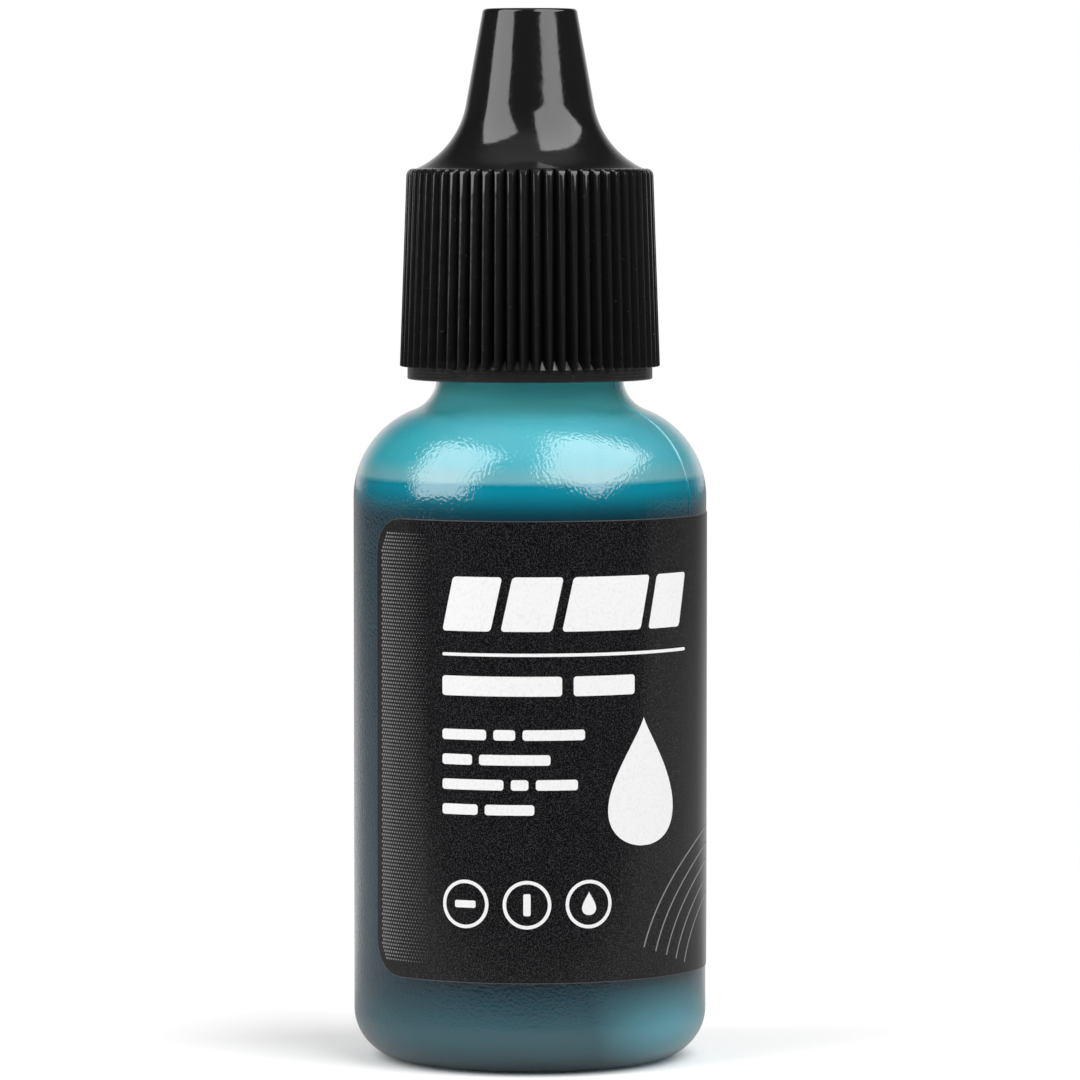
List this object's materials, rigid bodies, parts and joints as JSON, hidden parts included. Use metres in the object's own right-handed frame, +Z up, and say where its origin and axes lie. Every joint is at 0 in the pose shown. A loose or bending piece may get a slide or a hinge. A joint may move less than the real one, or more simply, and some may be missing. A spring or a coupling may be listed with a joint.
{
  "type": "chain lube bottle",
  "caption": "Small squeeze bottle of chain lube: translucent round bottle with a black wrap label, a dropper nozzle and a ribbed screw cap with a tapered top that comes off.",
  "frame": {"origin": "centre of the foot ring, on the surface that the bottle stands on", "axes": "+Z up along the bottle's axis, -Y out of the front of the label, +X to the right seen from the front"},
  "size_m": [0.0246, 0.0248, 0.0728],
  "materials": {
    "natural_polyethylene": "translucent, satin with a fine orange-peel surface",
    "black_cap": "gloss moulded",
    "label_film": "satin film with a fine sparkle",
    "teal_lube": "clear coloured liquid"
  },
  "bodies": {
    "bottle": {"bottle": "natural_polyethylene", "dropper_plug": "natural_polyethylene", "label": "label_film", "lube_fill": "teal_lube"},
    "cap": {"screw_cap": "black_cap"}
  },
  "joints": [
    {"name": "cap_lift", "type": "slide", "parent": "bottle", "child": "cap", "axis": [0, 0, 1], "range_m": [0, 0.03]}
  ]
}
